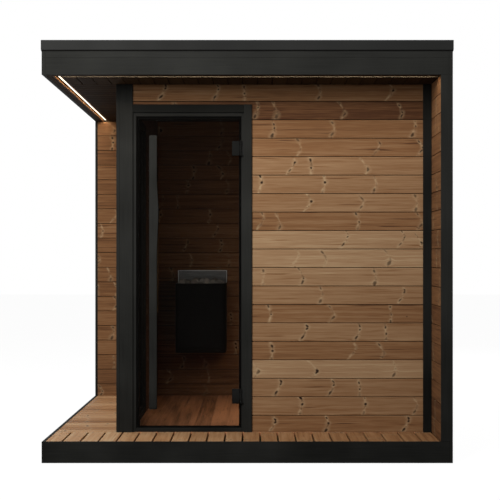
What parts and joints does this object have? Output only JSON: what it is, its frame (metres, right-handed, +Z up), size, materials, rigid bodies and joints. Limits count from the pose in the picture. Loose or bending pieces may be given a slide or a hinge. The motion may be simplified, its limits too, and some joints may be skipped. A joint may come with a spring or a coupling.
{
  "type": "outdoor sauna cabin",
  "caption": "Flat-roofed outdoor sauna cabin with an open corner porch, level wooden boards, black trim, a hinged tinted glass door, a tall side window and a wall-hung stone heater.",
  "frame": {"origin": "on the ground, under the middle of the roof's outline", "axes": "+X to the right seen from the door side, +Y to the back, +Z up"},
  "size_m": [2.283, 2.328, 2.34],
  "materials": {
    "wall_boards": "oiled heat-treated pine boards",
    "deck_boards": "oiled planed decking",
    "joist_timber": "sawn treated softwood",
    "black_wood": "black painted wood",
    "black_metal": "matt black coating",
    "roof_membrane": "black roofing sheet",
    "tinted_glass": "grey tinted safety glass",
    "light_diffuser": "frosted diffuser",
    "black_enamel": "black enamel",
    "stainless_steel": "brushed",
    "heater_stone": "rough split stone"
  },
  "bodies": {
    "cabin": {"joist_front": "joist_timber", "joist_front_wall": "joist_timber", "joist_back": "joist_timber", "joist_left": "joist_timber", "joist_left_wall": "joist_timber", "joist_floor_1": "joist_timber", "joist_floor_2": "joist_timber", "skirt_front": "black_wood", "skirt_back": "black_wood", "skirt_left": "black_wood", "skirt_right": "black_wood", "deck_front": "deck_boards", "deck_side": "deck_boards", "floor": "deck_boards", "front_wall": "wall_boards", "front_wall_header": "wall_boards", "left_wall": "wall_boards", "left_wall_header": "wall_boards", "right_wall": "wall_boards", "back_wall": "wall_boards", "corner_post": "black_wood", "corner_trim": "black_wood", "right_front_trim": "black_wood", "inner_corner_strip": "black_wood", "back_left_trim": "black_wood", "back_right_trim": "black_wood", "door_frame": "black_wood", "door_casing": "black_wood", "hinge_bracket_top": "black_metal", "hinge_bracket_bottom": "black_metal", "window_frame": "black_wood", "window_glass": "tinted_glass", "soffit_front": "wall_boards", "soffit_side": "wall_boards", "soffit_edge": "wall_boards", "ceiling": "wall_boards", "light_front": "light_diffuser", "light_side": "light_diffuser", "roof_core": "joist_timber", "roof_sheet": "roof_membrane", "fascia_front": "black_wood", "fascia_back": "black_wood", "fascia_left": "black_wood", "fascia_right": "black_wood", "flashing_front": "black_metal", "flashing_right": "black_metal", "flashing_back": "black_metal", "flashing_left": "black_metal", "heater_casing": "black_enamel", "heater_guard": "stainless_steel", "heater_stones": "heater_stone", "heater_bracket": "stainless_steel"},
    "door": {"door_glass": "tinted_glass", "door_hinge_top": "black_metal", "door_hinge_bottom": "black_metal", "door_handle": "black_wood", "door_handle_inner": "wall_boards"}
  },
  "joints": [
    {"name": "door_hinge", "type": "hinge", "parent": "cabin", "child": "door", "pos_m": [-0.038, -0.7992, 0.118], "axis": [0, 0, 1], "range_deg": [0, 110]}
  ]
}
